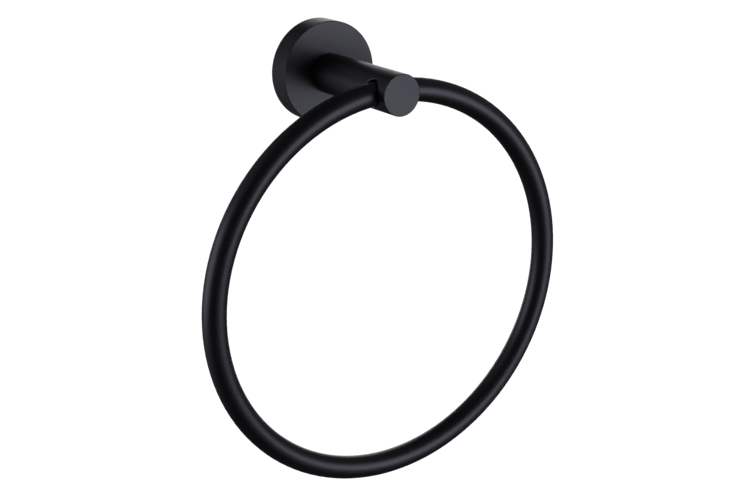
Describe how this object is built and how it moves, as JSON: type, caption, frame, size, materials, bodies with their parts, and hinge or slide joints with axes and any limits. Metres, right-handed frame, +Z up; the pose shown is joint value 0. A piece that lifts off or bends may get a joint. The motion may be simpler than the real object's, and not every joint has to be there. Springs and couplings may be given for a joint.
{
  "type": "towel ring",
  "caption": "Wall-mounted towel ring: a round rod hoop swings in the cross hole of a round post, on a round flange cover that a set screw holds over a hidden wall plate.",
  "frame": {"origin": "centre of the wall plate's back face, on the post's axis, where the part meets the wall", "axes": "+Z up, +Y into the wall, the post stands out along -Y, +X to the right of a person facing the wall"},
  "size_m": [0.178, 0.0665, 0.1954],
  "materials": {
    "black_coat": "satin black coating",
    "plain_steel": "satin bare steel"
  },
  "bodies": {
    "bracket": {"post": "black_coat", "flange_cover": "black_coat", "post_screw": "plain_steel", "lock_washer": "plain_steel", "wall_plate": "plain_steel", "set_screw": "plain_steel"},
    "ring": {"ring": "black_coat"}
  },
  "joints": [
    {"name": "ring_swing", "type": "hinge", "parent": "bracket", "child": "ring", "pos_m": [0, -0.0565, -0.00012], "axis": [-1, 0, 0], "range_deg": [-17, 197]}
  ]
}
